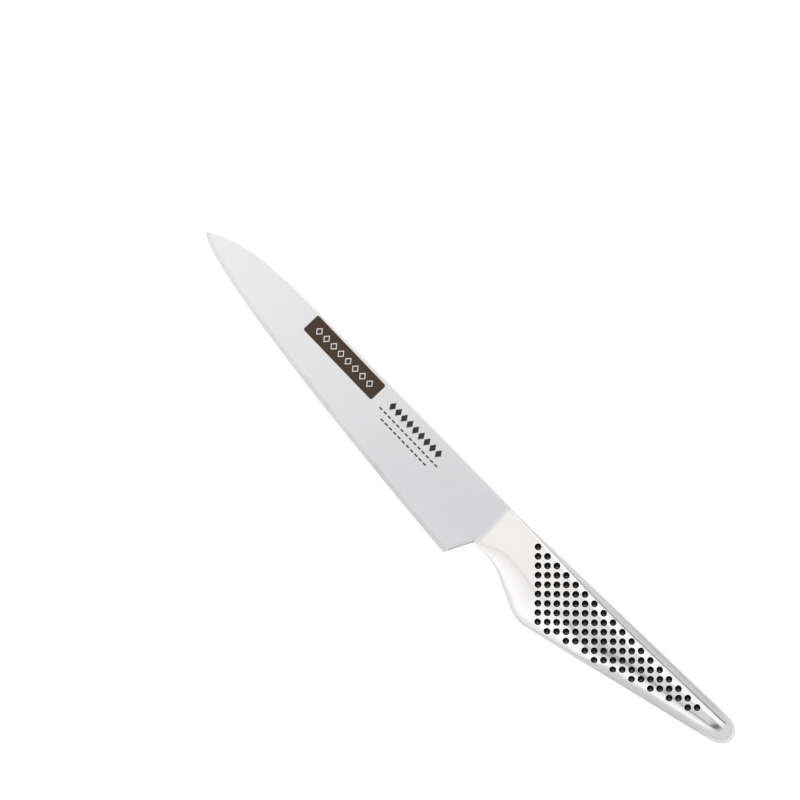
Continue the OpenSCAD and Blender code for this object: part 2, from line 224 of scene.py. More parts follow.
def rounded_y(x, corner, slope_a, slope_b, radius):
    """Height of a line that turns from one slope to another at a rounded corner."""
    angle_a, angle_b = math.atan(slope_a), math.atan(slope_b)
    side = 1 if slope_b > slope_a else -1
    reach = radius * math.tan(abs(angle_b - angle_a) / 2)
    start = (corner[0] - reach * math.cos(angle_a), corner[1] - reach * math.sin(angle_a))
    finish_x = corner[0] + reach * math.cos(angle_b)
    if x < start[0]:
        return corner[1] + slope_a * (x - corner[0])
    if x > finish_x:
        return corner[1] + slope_b * (x - corner[0])
    middle = (
        start[0] - side * radius * math.sin(angle_a),
        start[1] + side * radius * math.cos(angle_a),
    )
    return middle[1] - side * math.sqrt(max(radius**2 - (x - middle[0]) ** 2, 0))


CHOIL_SLOPE = (NECK_LOW + HEEL_DROP) / CHOIL_RUN


def choil_y(x):
    """The blade's rear edge, from the heel up to a small fillet under the neck."""
    return rounded_y(x, (BLADE_END, NECK_LOW), CHOIL_SLOPE, 0, CHOIL_FILLET)


def blade_low(x):
    return edge_y(x) if x < BLADE_RUN else choil_y(x)


def belly_y(x):
    throat = (NECK_X + THROAT_RUN, NECK_LOW)
    corner = (NECK_X + BELLY_RUN, BACK_RISE - BELLY_HEIGHT)
    throat_slope = (corner[1] - throat[1]) / (corner[0] - throat[0])
    if x < (throat[0] + corner[0]) / 2:
        return rounded_y(x, throat, 0, throat_slope, THROAT_ROUND)
    return rounded_y(x, corner, throat_slope, TAIL_SLOPE, BELLY_ROUND)


TAIL_SLOPE = (BELLY_HEIGHT - BUTT_HEIGHT) / (HANDLE_RUN - BELLY_RUN)


def middle_y(x):
    return (BACK_RISE + belly_y(x)) / 2


def half_z(x):
    if x < BULGE_X:
        return mix(HANDLE_T, NECK_T, clamp(1 - (x - NECK_X) / BULGE_RUN) ** RAMP_BEND) / 2
    taper = ((x - BULGE_X) / (CAP_X - BULGE_X)) ** 2
    ease = (max(x - CAP_X + BUTT_EASE_RUN, 0) / BUTT_EASE_RUN) ** 2
    return (mix(HANDLE_T, BUTT_T, taper) - BUTT_EASE * ease) / 2


def front_share(x):
    """How much of the front's section is left: 1 at the neck, 0 towards the butt."""
    return 1 - smooth_step((x - NECK_X - FRONT_RUN) / FADE_RUN)


def crest_y(x):
    """Height of the line along which the handle is thickest."""
    return mix(middle_y(x), BACK_RISE - CREST_DROP, CREST_PULL * front_share(x))


def fullness(x):
    """How square the section is above its crest."""
    share = clamp((CAP_X - x) / (CAP_X - NECK_X))
    return mix(BODY_FULLNESS, NECK_FULLNESS, share**FULLNESS_BEND)


def belly_fullness(x):
    """How square the section is below its crest."""
    return mix(BODY_FULLNESS, BELLY_FULLNESS, front_share(x))


def thinning(x):
    """Share by which the section is thinner at the belly than at its crest."""
    return BELLY_THIN * mix(NECK_THIN, 1, clamp((x - NECK_X) / THIN_RUN)) * front_share(x)


def skin_z(x, y):
    """Height of the handle's skin over its middle plane."""
    crest = crest_y(x)
    above = y > crest
    reach = BACK_RISE - crest if above else crest - belly_y(x)
    off = min(abs(y - crest) / reach, 1)
    n = fullness(x) if above else belly_fullness(x)
    thin = 1 if above else 1 - thinning(x) * off * off
    return mix(SEAM_W / 2, half_z(x), (1 - off**n) ** (1 / n) * thin)


def skin_point(x, y):
    return Vector((x, y, skin_z(x, y)))


def dimple_home(x, y):
    """The skin's point over a dimple's middle, and the normal of the skin round it."""
    reach = DIMPLE_BALL_R
    along = skin_point(x + reach, y) - skin_point(x - reach, y)
    across = skin_point(x, y + reach) - skin_point(x, y - reach)
    return skin_point(x, y), along.cross(across).normalized()


def section_shares(x):
    """A half section from back to belly: shares of the reach, of the height, and the thinning."""
    angle = np.linspace(0, math.pi, SECTION_POINTS)
    c, s = np.cos(angle), np.sin(angle)
    n = np.where(c > 0, fullness(x), belly_fullness(x))
    reach = (np.abs(c) ** n + np.abs(s) ** n) ** (-1 / n)
    off = c * reach
    return off, np.abs(s) * reach, np.where(off < 0, 1 - thinning(x) * off * off, 1)


def evenly(y, z, rows):
    """Points at equal steps along a curve."""
    run = np.concatenate(([0], np.cumsum(np.hypot(np.diff(y), np.diff(z)))))
    stops = np.linspace(0, run[-1], rows + 1)
    return np.interp(stops, run, y), np.interp(stops, run, z)


def handle_ring(column, rows, inset):
    """One half ring of the handle's skin. The butt is rounded: its rings draw in and lean."""
    turn = math.pi / 2 * max(column - BODY_COLUMNS, 0) / BUTT_COLUMNS
    x = mix(NECK_X, CAP_X, column / BODY_COLUMNS)
    if turn > 0:
        x = CAP_X + (BUTT_ROUND - inset) * math.sin(turn)
    shrink = math.cos(turn)
    crest = crest_y(x)
    up, low = BACK_RISE - crest - inset, crest - belly_y(x) - inset
    off, height, thin = section_shares(x)
    full = (half_z(x) - SEAM_W / 2) * thin
    rise = np.maximum(full - inset, full * (1 - WALL_SHARE * inset / WALL))
    off = off * np.where(off > 0, up, low) * shrink
    off, z = evenly(off, SEAM_W / 2 + rise * height * shrink, rows)
    lean = TAIL_SLOPE / 2 * math.sin(turn) * off
    return np.stack((np.minimum(x - lean, BUTT_X - inset), crest + off, z), axis=1)


def slab(columns, rows):
    """A closed slab: X from 0 to 1 in columns, Y from 0 to 1 in rows, Z 0 below and 1 above."""
    bm = bmesh.new()
    bmesh.ops.create_grid(bm, x_segments=columns, y_segments=rows, size=0.5)
    made = bmesh.ops.extrude_face_region(bm, geom=bm.faces[:], use_keep_orig=True)
    above = [v for v in made["geom"] if isinstance(v, bmesh.types.BMVert)]
    bmesh.ops.translate(bm, verts=above, vec=(0, 0, 1))
    bmesh.ops.translate(bm, verts=bm.verts[:], vec=(0.5, 0.5, 0))
    return bm


def close_up(bm):
    """Welds points that have come together and turns all the faces outwards."""
    bmesh.ops.remove_doubles(bm, verts=bm.verts[:], dist=MERGE_REACH)
    bmesh.ops.recalc_face_normals(bm, faces=bm.faces[:])


def mirrored(bm):
    """A copy for the right side."""
    other = bm.copy()
    bmesh.ops.scale(other, vec=(1, 1, -1), verts=other.verts[:])
    bmesh.ops.reverse_faces(other, faces=other.faces[:])
    return other


def sharpen(bm, angle):
    """Shades the faces smooth, up to an edge of at least this angle."""
    for face in bm.faces:
        face.smooth = True
    for edge in bm.edges:
        if len(edge.link_faces) == 2 and edge.calc_face_angle(0) > angle:
            edge.smooth = False


def flat_sheet(bm, size, middle=(0, 0, 0)):
    """A flat rectangle. Gives back its corners."""
    corners = bmesh.ops.create_grid(bm, x_segments=1, y_segments=1, size=0.5)["verts"]
    bmesh.ops.scale(bm, verts=corners, vec=(*size, 1))
    bmesh.ops.translate(bm, verts=corners, vec=middle)
    return corners


def new_object(name, bm, materials):
    """An object of the scene from a finished mesh and its materials."""
    mesh = bpy.data.meshes.new(name)
    bm.to_mesh(mesh)
    bm.free()
    for material in materials:
        mesh.materials.append(material)
    made = bpy.data.objects.new(name, mesh)
    bpy.context.scene.collection.objects.link(made)
    return made


def piece(name, bm, materials, replaces=()):
    """Seats a finished mesh in the part's frame and lets it ride on the knife's one body."""
    bmesh.ops.transform(bm, matrix=SEAT, verts=bm.verts[:])
    made = new_object(name, bm, materials)
    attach(made, "root")
    if replaces:
        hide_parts(*replaces)


# Materials


def new_material(name):
    """A material, its node tree and its surface shader."""
    material = bpy.data.materials.new(name)
    material.use_nodes = True
    tree = material.node_tree
    shader = tree.nodes["Principled BSDF"]
    return material, tree, shader


def add_node(tree, kind, inputs=None, **settings):
    """A node whose inputs are given as numbers, or as another node's output."""
    node = tree.nodes.new(kind)
    for key, value in settings.items():
        setattr(node, key, value)
    for key, value in (inputs or {}).items():
        if isinstance(value, bpy.types.NodeSocket):
            tree.links.new(value, node.inputs[key])
        else:
            node.inputs[key].default_value = value
    return node


def grain(tree, scale):
    """Noise on the piece's own coordinates, stretched by a scale for each axis."""
    place = add_node(tree, "ShaderNodeTexCoord").outputs["Object"]
    stretch = add_node(tree, "ShaderNodeMapping", {"Vector": place, "Scale": scale})
    inputs = {
        "Vector": stretch.outputs["Vector"],
        "Scale": 1.0,
        "Detail": 3.0,
        "Roughness": 0.6,
    }
    return add_node(tree, "ShaderNodeTexNoise", inputs).outputs["Fac"]


def ranged(tree, value, low, high, from_low=0.3, from_high=0.7):
    """Spreads a noise value over a range of its own."""
    inputs = {
        "Value": value,
        "From Min": from_low,
        "From Max": from_high,
        "To Min": low,
        "To Max": high,
    }
    return add_node(tree, "ShaderNodeMapRange", inputs).outputs["Result"]


def blended(tree, share, first, second):
    """Mixes two colours, each given as a colour or as another node's output."""
    node = add_node(tree, "ShaderNodeMix", data_type="RGBA")
    factor, low, high = (socket for socket in node.inputs if socket.enabled)
    tree.links.new(share, factor)
    for socket, colour in ((low, first), (high, second)):
        if isinstance(colour, bpy.types.NodeSocket):
            tree.links.new(colour, socket)
        else:
            socket.default_value = (*colour, 1)
    return next(socket for socket in node.outputs if socket.enabled)


def tinted(tree, value, dark, light):
    """A colour that wanders between two shades with a noise value."""
    return blended(tree, ranged(tree, value, 0.0, 1.0), dark, light)


def bumped(tree, shader, height, strength, distance):
    inputs = {"Height": height, "Strength": strength, "Distance": distance}
    bump = add_node(tree, "ShaderNodeBump", inputs)
    tree.links.new(bump.outputs["Normal"], shader.inputs["Normal"])


BRUSHING = 0.6
STREAK_DEPTH = 0.00001
CLOUD_SCALE = (45, 45, 45)


def steel(name, dark, light, rough, streak_scale, bump, across=None, bands=()):
    """Stainless steel with streaks of its finish, in colour, roughness and height.

    Brushed steel is given the way across its brushing. Each band is a finish of its own that
    the mesh marks with an attribute of that name; some bands also carry painted light and shade.
    """
    material, tree, shader = new_material(name)
    shader.inputs["Metallic"].default_value = 1.0
    streaks = grain(tree, streak_scale)
    clouds = grain(tree, CLOUD_SCALE)
    colour = tinted(tree, clouds, dark, light)
    roughness = ranged(tree, streaks, *rough)
    for band, band_dark, band_light, band_rough in bands:
        share = add_node(tree, "ShaderNodeAttribute", attribute_name=band).outputs["Fac"]
        colour = blended(tree, share, colour, tinted(tree, streaks, band_dark, band_light))
        roughness = ranged(tree, share, roughness, band_rough, 0.0, 1.0)
    tree.links.new(colour, shader.inputs["Base Color"])
    tree.links.new(roughness, shader.inputs["Roughness"])
    if across:
        shader.inputs["Anisotropic"].default_value = BRUSHING
        way = add_node(tree, "ShaderNodeCombineXYZ", dict(zip("XYZ", across)))
        tree.links.new(way.outputs["Vector"], shader.inputs["Tangent"])
    bumped(tree, shader, streaks, bump, STREAK_DEPTH)
    return material


def satin_steel():
    """Flat sides, brushed finely along the blade; painted light makes them brighter to the tip."""
    tip = ("tip", (0.785, 0.785, 0.80), (0.815, 0.815, 0.83), 0.26)
    scale = (30, 9000, 9000)
    dark, light = (0.68, 0.68, 0.695), (0.71, 0.71, 0.725)
    return steel("satin_steel", dark, light, (0.26, 0.31), scale, 0.04, (0, 1, 0), (tip,))


def ground_steel():
    """The bevel along the edge, ground across it; painted light makes it brighter to the tip."""
    tip = ("tip", (0.75, 0.75, 0.755), (0.79, 0.79, 0.795), 0.28)
    scale = (7000, 400, 400)
    dark, light = (0.59, 0.59, 0.60), (0.65, 0.65, 0.66)
    return steel("ground_steel", dark, light, (0.28, 0.40), scale, 0.15, (1, 0, 0), (tip,))


def choil_shade_steel():
    """The blade's rear edge, left rough by the grinding wheel and dark with painted shade."""
    scale = (400, 400, 7000)
    dark, light = (0.24, 0.24, 0.245), (0.30, 0.30, 0.305)
    return steel("choil_shade_steel", dark, light, (0.35, 0.45), scale, 0.1)


# The rim band: a satin ground finish, darkened with painted shade where the skin turns down
RIM_FINISH_AND_SHADE = ("rim", (0.43, 0.43, 0.44), (0.50, 0.50, 0.51), 0.30)


def polished_steel():
    """Polished handle, satin ground rim with painted shade, painted highlight round the dimples."""
    # A painted highlight: a bright ring on the skin round each dimple's opening
    lip_highlight = ("lip_highlight", (0.96, 0.955, 0.95), (0.98, 0.975, 0.97), 0.12)
    bands = (RIM_FINISH_AND_SHADE, lip_highlight)
    scale = (60, 5000, 5000)
    dark, light = (0.80, 0.79, 0.775), (0.83, 0.82, 0.805)
    return steel("polished_steel", dark, light, (0.10, 0.15), scale, 0.02, bands=bands)


def weld_steel():
    """The seam's weld, ground flush and polished over."""
    scale = (900, 900, 900)
    dark, light = (0.50, 0.50, 0.50), (0.58, 0.58, 0.58)
    return steel("weld_steel", dark, light, (0.24, 0.32), scale, 0.05)


def neck_steel():
    """The weld round the neck, blended by hand from the blade's satin to the handle's shine."""
    shine = ("shine", (0.85, 0.845, 0.84), (0.88, 0.875, 0.87), 0.14)
    # The rim band darkens the neck's steep sides with painted shade
    bands = (shine, RIM_FINISH_AND_SHADE)
    scale = (5000, 60, 5000)
    dark, light = (0.71, 0.71, 0.715), (0.74, 0.74, 0.745)
    return steel("neck_steel", dark, light, (0.20, 0.28), scale, 0.04, bands=bands)


COAT_BUMP = 0.05
COAT_DEPTH = 0.00002


def gloss(name, dark, light, rough, level, scale):
    """A smooth coat with a faint unevenness."""
    material, tree, shader = new_material(name)
    shader.inputs["Specular IOR Level"].default_value = level
    patches = grain(tree, (scale, scale, scale))
    tree.links.new(tinted(tree, patches, dark, light), shader.inputs["Base Color"])
    tree.links.new(ranged(tree, patches, *rough), shader.inputs["Roughness"])
    bumped(tree, shader, patches, COAT_BUMP, COAT_DEPTH)
    return material


def black_enamel():
    """Black enamel: deep black on a dimple's walls, with a greyer painted highlight in its bowl."""
    material, tree, shader = new_material("black_enamel")
    shader.inputs["Specular IOR Level"].default_value = 0.05
    patches = grain(tree, (900, 900, 900))
    enamel_highlight = add_node(tree, "ShaderNodeAttribute", attribute_name="enamel_highlight").outputs["Fac"]
    walls = tinted(tree, patches, (0.001, 0.001, 0.001), (0.002, 0.002, 0.002))
    bowl = tinted(tree, patches, (0.090, 0.090, 0.090), (0.140, 0.140, 0.138))
    tree.links.new(blended(tree, enamel_highlight, walls, bowl), shader.inputs["Base Color"])
    tree.links.new(ranged(tree, patches, 0.10, 0.18), shader.inputs["Roughness"])
    bumped(tree, shader, patches, COAT_BUMP, COAT_DEPTH)
    return material


def label_film():
    dark, light = (0.054, 0.029, 0.016), (0.062, 0.036, 0.021)
    return gloss("label_film", dark, light, (0.40, 0.50), 0.3, 1500)


def pale_ink():
    dark, light = (0.80, 0.79, 0.76), (0.86, 0.85, 0.82)
    return gloss("pale_ink", dark, light, (0.45, 0.55), 0.3, 3000)


def black_ink():
    dark, light = (0.012, 0.012, 0.013), (0.022, 0.022, 0.023)
    return gloss("black_ink", dark, light, (0.40, 0.52), 0.4, 4000)


def dry_sand():
    """Loose grains, each its own shade."""
    material, tree, shader = new_material("dry_sand")
    place = add_node(tree, "ShaderNodeTexCoord").outputs["Object"]
    grains = add_node(tree, "ShaderNodeTexVoronoi", {"Vector": place, "Scale": 2600.0})
    parts = add_node(tree, "ShaderNodeSeparateColor", {"Color": grains.outputs["Color"]})
    colour = tinted(tree, parts.outputs["Red"], (0.50, 0.40, 0.27), (0.74, 0.65, 0.50))
    tree.links.new(colour, shader.inputs["Base Color"])
    shader.inputs["Roughness"].default_value = 0.9
    bumped(tree, shader, grains.outputs["Distance"], 0.6, 0.0002)
    return material


# Blade

BLADE_COLUMNS = 210
CHOIL_COLUMNS = 26
SPINE_ROWS = 4
SIDE_ROWS = 9
BEVEL_ROWS = 3
EDGE_ROWS = 5
BLADE_ROWS = SPINE_ROWS + SIDE_ROWS + BEVEL_ROWS + EDGE_ROWS
TIP_CROWDING = 1.25
SPINE_SOFT = 0.16
SPINE_SOFT_SHARE = 0.8
EDGE_SOFT = 0.06
EDGE_LEFT = 0.12
CHOIL_SOFT = 2.0
CHOIL_SOFT_LIMIT = 1.2
TIP_LIGHT_FADE = 110

# The blade's finishes, in the order of its materials, and the limits between them
SIDE_LOOK, BEVEL_LOOK, SPINE_LOOK, CHOIL_LOOK = range(4)
BEVEL_STEP = 0.02
SPINE_LEVEL = 0.8
CHOIL_LEVEL = 0.97
CHOIL_FALL = -0.1
BLADE_CREASE = math.radians(30)


def plate_z(x, y):
    """Half the blade's thickness, thinner over the bevel."""
    low, shoulder = edge_y(min(x, BLADE_RUN)), bevel_y(x)
    share = clamp((y - low) / (shoulder - low))
    return mix(EDGE_T / 2, side_z(x, y), share)


def blade_x(column):
    if column <= BLADE_COLUMNS:
        return BLADE_RUN * (column / BLADE_COLUMNS) ** TIP_CROWDING
    return mix(BLADE_RUN, BLADE_END, (column - BLADE_COLUMNS) / CHOIL_COLUMNS)


def blade_point(column, row):
    """A point of the blade's left side, with the spine at row 0 and the edge at the last row."""
    x = blade_x(column)
    top, low = spine_y(x), blade_low(x)
    soft_top = min(SPINE_SOFT, plate_z(x, top) * SPINE_SOFT_SHARE)
    soft_low = EDGE_SOFT
    if x > BLADE_RUN:
        soft_low = clamp(CHOIL_SOFT * plate_z(x, low), EDGE_SOFT, CHOIL_SOFT_LIMIT)
    rise = min(top - soft_top, low + soft_low) if x > BLADE_RUN else low + soft_low
    shoulder = clamp(bevel_y(x), rise, top - soft_top)
    if row <= SPINE_ROWS:
        turn = math.pi / 2 * row / SPINE_ROWS
        y = top - soft_top * (1 - math.cos(turn))
        z = plate_z(x, top) - soft_top * (1 - math.sin(turn))
        return x, y, z
    row -= SPINE_ROWS
    if row <= SIDE_ROWS:
        y = mix(top - soft_top, shoulder, row / SIDE_ROWS)
        return x, y, plate_z(x, y)
    row -= SIDE_ROWS
    if row <= BEVEL_ROWS:
        y = mix(shoulder, rise, row / BEVEL_ROWS)
        return x, y, plate_z(x, y)
    turn = math.pi / 2 * (row - BEVEL_ROWS) / EDGE_ROWS
    y = rise - (rise - low) * math.sin(turn)
    z = plate_z(x, rise) * max(math.cos(turn), EDGE_LEFT)
    return x, y, z


def make_blade(sides, bevel, spine, choil):
    """The blade with its tang: a slab bent to the flat sides, the bevel and the soft spine."""
    columns = BLADE_COLUMNS + CHOIL_COLUMNS
    bm = slab(columns, BLADE_ROWS)
    # The tip band: painted light that brightens the steel towards the tip
    tip = bm.verts.layers.float.new("tip")
    for v in bm.verts:
        side = 1 if v.co.z < 0.5 else -1
        x, y, z = blade_point(round(v.co.x * columns), round(v.co.y * BLADE_ROWS))
        v.co = (x, y, side * z)
        v[tip] = clamp(1 - x / TIP_LIGHT_FADE)
    close_up(bm)
    for face in bm.faces:
        middle = face.calc_center_median()
        level = abs(face.normal.z)
        behind = middle.x > BLADE_RUN
        if middle.x < BLADE_RUN and middle.y < bevel_y(middle.x) - BEVEL_STEP:
            face.material_index = BEVEL_LOOK
        # Rear faces that turn down take the choil's steel, darkened with painted shade
        elif behind and level < CHOIL_LEVEL and face.normal.y < CHOIL_FALL:
            face.material_index = CHOIL_LOOK
        elif level < SPINE_LEVEL:
            face.material_index = SPINE_LOOK
    add_tang(bm)
    sharpen(bm, BLADE_CREASE)
    for edge in bm.edges:
        if {face.material_index for face in edge.link_faces} == {SIDE_LOOK, BEVEL_LOOK}:
            edge.smooth = False
    looks = (sides, bevel, spine, choil)
    piece("blade_steel_plate", bm, looks, ("blade",))


def add_tang(bm):
    """The short tang that the neck's weld holds."""
    made = bmesh.ops.create_cube(bm, size=1)
    length = 2 * WELD_RUN + TANG_LENGTH
    middle = (BLADE_END - WELD_RUN + length / 2, middle_y(NECK_X), 0)
    bmesh.ops.scale(bm, verts=made["verts"], vec=(length, TANG_HEIGHT, TANG_T))
    bmesh.ops.translate(bm, verts=made["verts"], vec=middle)
    edges = list({edge for v in made["verts"] for edge in v.link_edges})
    cut = {"segments": 2, "profile": 0.5, "affect": "EDGES", "material": -1}
    bmesh.ops.bevel(bm, geom=edges, offset=TANG_SOFT, **cut)


# Handle

BODY_COLUMNS = 300
BUTT_COLUMNS = 16
SHELL_COLUMNS = BODY_COLUMNS + BUTT_COLUMNS
SHELL_ROWS = 84
BOWL_RINGS = (0.78, 0.52, 0.26, 0)
SHELL_CREASE = math.radians(50)
WELD_CREASE = math.radians(40)

# The ground rim, with painted shade: its finish sets in as the skin tilts from the first angle
# to the second
RIM_START = math.cos(math.radians(35))
RIM_FULL = math.cos(math.radians(51))
FRONT_RIM_LOSS = 0.3
CAP_RIM_LOSS = 0.41
CAP_FADE = 8


def dimple_places():
    """Middles of the dimples, seen from the side, row by row from the back down."""
    places = []
    c, s = math.cos(DIMPLE_TURN), math.sin(DIMPLE_TURN)
    for row, count in enumerate(DIMPLE_COUNTS):
        for i in range(count):
            along, rise = (row / 2 + i) * DIMPLE_PITCH, -row * DIMPLE_PITCH / 2
            x = NECK_X + DIMPLE_START + along * c - rise * s
            y = BACK_RISE - DIMPLE_DROP + along * s + rise * c
            if x < CAP_X - DIMPLE_MARGIN and min(y - belly_y(x), BACK_RISE - y) > DIMPLE_MARGIN:
                places.append((x, y))
    return places


DIMPLES = dimple_places()


def dimple_depth(share, rim_drop):
    """How far a dimple's surface lies below the flat over it, by the share of its radius."""
    ball = math.sqrt(DIMPLE_BALL_R**2 - (share * RIM_R) ** 2) - BALL_LIFT
    return ball + rim_drop * share * share


def press_dimples(bm, skin):
    """Opens the skin over each dimple and draws the opening's rim down in rings to a bowl."""
    homes = [dimple_home(x, y) for x, y in DIMPLES]
    balls = np.array([home + normal * BALL_LIFT for home, normal in homes])
    middles = np.array([face.calc_center_median() for face in skin])
    near = np.min([np.sum((middles - ball) ** 2, axis=1) for ball in balls], axis=0)
    inside = [face for face, d in zip(skin, near) if d < DIMPLE_BALL_R**2]
    bmesh.ops.delete(bm, geom=inside, context="FACES")
    home_of = bm.verts.layers.int["home"]
    way_of = bm.verts.layers.float_vector["way"]
    drop_of = bm.verts.layers.float["drop"]
    lip_highlight = bm.verts.layers.float["lip_highlight"]
    bowl = bm.faces.layers.int["bowl"]
    rim = [v for v in bm.verts if v.is_boundary]
    # Each opening's rim carries the painted highlight of a bright ring
    for v in rim:
        v[lip_highlight] = 1
        k = int(np.argmin(np.sum((balls - np.array(v.co)) ** 2, axis=1)))
        home, normal = homes[k]
        way = v.co - home
        way = (way - normal * way.dot(normal)).normalized()
        flat = home + way * RIM_R
        v.co = skin_point(flat.x, flat.y)
        v[home_of], v[way_of], v[drop_of] = k, way, (flat - v.co).dot(normal)
    edges = [e for e in bm.edges if e.is_boundary]
    for edge in edges:
        edge.smooth = False
    for share in BOWL_RINGS:
        made = bmesh.ops.extrude_edge_only(bm, edges=edges)["geom"]
        ring = [g for g in made if isinstance(g, bmesh.types.BMVert)]
        for v in ring:
            home, normal = homes[v[home_of]]
            v.co = home + v[way_of] * RIM_R * share - normal * dimple_depth(share, v[drop_of])
        for g in made:
            if isinstance(g, bmesh.types.BMFace):
                g[bowl] = 1
        edges = [g for g in made if isinstance(g, bmesh.types.BMEdge) and g.is_boundary]


def make_shell_mesh():
    """The left half of the handle: a wall bent from a flat slab, with its dimples pressed in."""
    bm = slab(SHELL_COLUMNS, SHELL_ROWS)
    bm.verts.layers.int.new("home")
    bm.verts.layers.float_vector.new("way")
    bm.verts.layers.float.new("drop")
    bm.verts.layers.float.new("rim")
    bm.verts.layers.float.new("lip_highlight")
    bm.faces.layers.int.new("bowl")
    rings = {
        (i, k): handle_ring(i, SHELL_ROWS, k * WALL)
        for i in range(SHELL_COLUMNS + 1)
        for k in (0, 1)
    }
    skin = [face for face in bm.faces if all(v.co.z < 0.5 for v in face.verts)]
    for v in bm.verts:
        ring = rings[round(v.co.x * SHELL_COLUMNS), round(v.co.z)]
        v.co = ring[round(v.co.y * SHELL_ROWS)]
    press_dimples(bm, skin)
    close_up(bm)
    mark_shaded_rim(bm)
    return bm


def rim_shade_share(x, level):
    """Share of the rim's finish and painted shade by how the skin tilts, less at the two ends."""
    step = smooth_step((RIM_START - level) / (RIM_START - RIM_FULL))
    cap = clamp((x - CAP_X) / CAP_FADE + 1)
    return step * (1 - FRONT_RIM_LOSS * front_share(x)) * (1 - CAP_RIM_LOSS * cap)


def mark_shaded_rim(bm):
    """Marks the ground rim, with painted shade: skin near the seam that turns down steeply."""
    rim, bowl = bm.verts.layers.float["rim"], bm.faces.layers.int["bowl"]
    bm.normal_update()
    for v in bm.verts:
        if not any(face[bowl] for face in v.link_faces):
            side = 1 if v.co.z > 0 else -1
            level = max(side * face.normal.z for face in v.link_faces)
            v[rim] = rim_shade_share(v.co.x, level)


def make_shells(look):
    """Both halves of the handle, the right one a mirror image of the left."""
    left = make_shell_mesh()
    right = mirrored(left)
    for side, bm in (("left", left), ("right", right)):
        bowl = bm.faces.layers.int["bowl"]
        sharpen(bm, SHELL_CREASE)
        for edge in bm.edges:
            if len({face[bowl] for face in edge.link_faces}) == 2:
                edge.smooth = False
        node = "handle_shell_" + side
        piece("handle_" + side + "_half", bm, (look,), (node,))


def make_seam(look):
    """The weld between the halves: a flat band bent round the handle's outline."""
    outline = []
    for inset in (0, WALL):
        rings = [handle_ring(i, 1, inset) for i in range(SHELL_COLUMNS + 1)]
        outline.append([r[0] for r in rings] + [r[1] for r in rings[-2::-1]])
    columns = 2 * SHELL_COLUMNS
    bm = slab(columns, 1)
    for v in bm.verts:
        x, y, _ = outline[round(v.co.y)][round(v.co.x * columns)]
        v.co = (x, y, (0.5 - v.co.z) * SEAM_W)
    close_up(bm)
    sharpen(bm, WELD_CREASE)
    piece("handle_seam", bm, (look,), ("seam_weld",))


NECK_COLUMNS = 8
NECK_ROWS = 48


def neck_section(share):
    """The left half of the neck weld's section, from the blade at 0 to the shells at 1."""
    x = mix(BLADE_END, NECK_X, share)
    crest = crest_y(NECK_X)
    up, low = mix(SPINE_END_RISE, BACK_RISE, share) - crest, crest - choil_y(x)
    off, height, thin = section_shares(NECK_X)
    y = crest + off * np.where(off > 0, up, low)
    plate = SEAM_W / 2 + (side_z(BLADE_END, y) - SEAM_W / 2) * height
    shell = SEAM_W / 2 + (NECK_T - SEAM_W) / 2 * thin * height
    blend = mix(share, smooth_step(share), BEAD_EASE)
    return (x, *evenly(y, mix(plate, shell, blend), NECK_ROWS))


def make_neck(look):
    """The weld round the neck: a sleeve that rises from the blade's sides to the shells."""
    rows = 2 * NECK_ROWS + 2
    bm = slab(NECK_COLUMNS, rows)
    ends = [face for face in bm.faces if len({v.co.y for v in face.verts}) == 1]
    bmesh.ops.delete(bm, geom=ends, context="FACES")
    shine = bm.verts.layers.float.new("shine")
    bm.verts.layers.float.new("rim")
    bm.faces.layers.int.new("bowl")
    hole_y = TANG_HEIGHT / 2 + TANG_GAP
    hole_z = TANG_T / 2 + TANG_GAP
    for v in bm.verts:
        v[shine] = v.co.x
        x, y, z = neck_section(v.co.x)
        row = round(v.co.y * rows) % rows
        side = 1 if row <= NECK_ROWS else -1
        row = min(row, rows - 1 - row)
        point = Vector((x, y[row], side * z[row]))
        if v.co.z > 0.5:
            middle = middle_y(NECK_X)
            point.y = clamp(point.y, middle - hole_y, middle + hole_y)
            point.z = side * hole_z
        v.co = point
    close_up(bm)
    mark_shaded_rim(bm)
    sharpen(bm, WELD_CREASE)
    piece("handle_neck_bead", bm, (look,), ("neck_weld",))


# Enamel

ENAMEL_GAP = 0.02
ENAMEL_T = 0.12
ENAMEL_R = RIM_R - 1.5 * ENAMEL_GAP

# Where the painted highlight lies in the enamel, in shares of the dimple's radius
HIGHLIGHT_X = 0.35
HIGHLIGHT_Y = -0.3
HIGHLIGHT_REACH = 0.62
HIGHLIGHT_LEVEL = 1.05


def axes_on(normal, way):
    """Two axes on the flat that a normal stands on: one that follows a way, and one across."""
    along = (way - normal * way.dot(normal)).normalized()
    return along, normal.cross(along)


